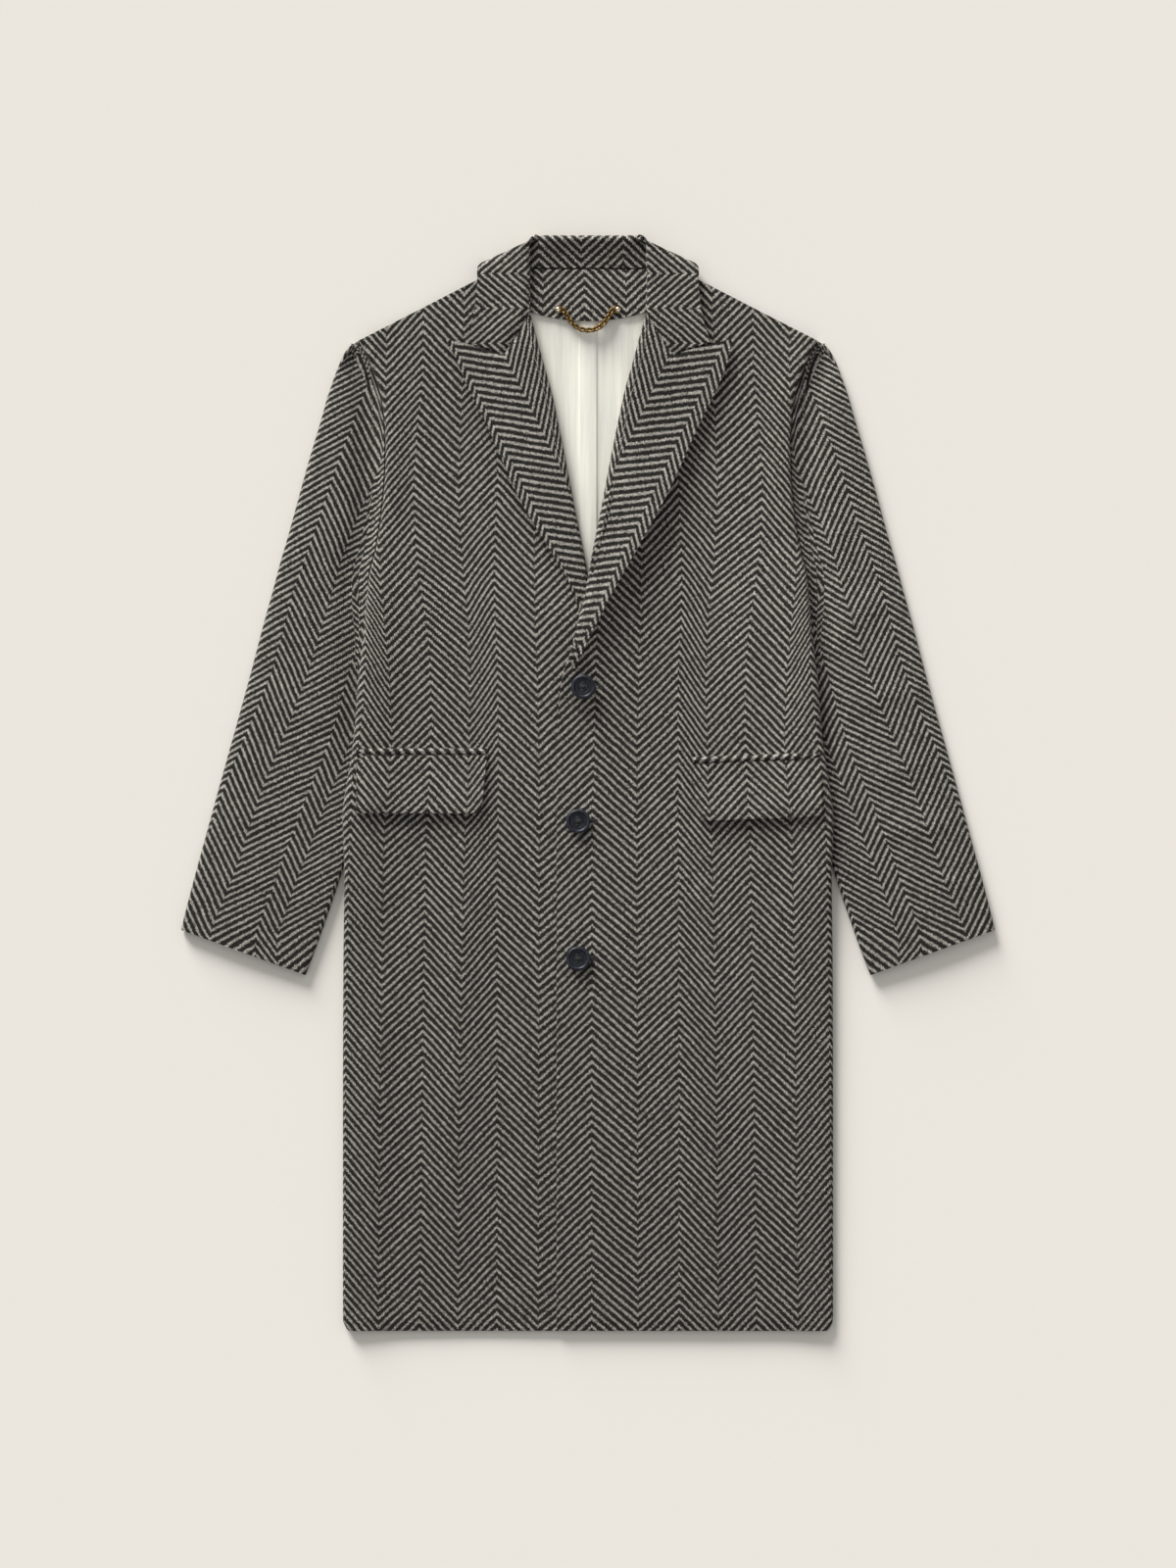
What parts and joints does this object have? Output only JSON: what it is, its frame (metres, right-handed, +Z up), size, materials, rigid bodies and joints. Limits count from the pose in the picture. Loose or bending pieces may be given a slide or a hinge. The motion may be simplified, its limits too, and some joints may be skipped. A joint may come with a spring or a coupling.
{
  "type": "wool overcoat",
  "caption": "Long single-breasted herringbone wool overcoat with peak lapels, flap pockets and a chain hanger, laid flat face up.",
  "frame": {"origin": "centre of the coat's bounding box, on the surface that it lies on", "axes": "+X to the wearer's left, +Y from hem to collar, +Z up from the surface through the front"},
  "size_m": [0.8316, 1.1181, 0.0253],
  "materials": {
    "wool": "brushed herringbone overcoating, light grey and charcoal",
    "satin": "cream satin lining",
    "horn": "polished, near-black",
    "rivet": "polished",
    "chain": "antiqued"
  },
  "bodies": {
    "coat": {"back": "wool", "neck_facing": "wool", "collar": "wool", "front_right": "wool", "front_left": "wool", "lapel_right": "wool", "lapel_left": "wool", "top_sleeve_right": "wool", "top_sleeve_left": "wool", "under_sleeve_right": "wool", "under_sleeve_left": "wool", "pocket_jet_right": "wool", "pocket_jet_left": "wool", "pocket_flap_right": "wool", "pocket_flap_left": "wool", "back_lining": "satin", "button_top": "horn", "button_middle": "horn", "button_bottom": "horn", "rivet_right": "rivet", "rivet_left": "rivet"},
    "hanger": {"hanger_chain": "chain"}
  },
  "joints": [
    {"name": "chain_swing", "type": "hinge", "parent": "coat", "child": "hanger", "pos_m": [0, 0.4835, 0.0111], "axis": [-1, 0, 0], "range_deg": [0, 165]}
  ]
}
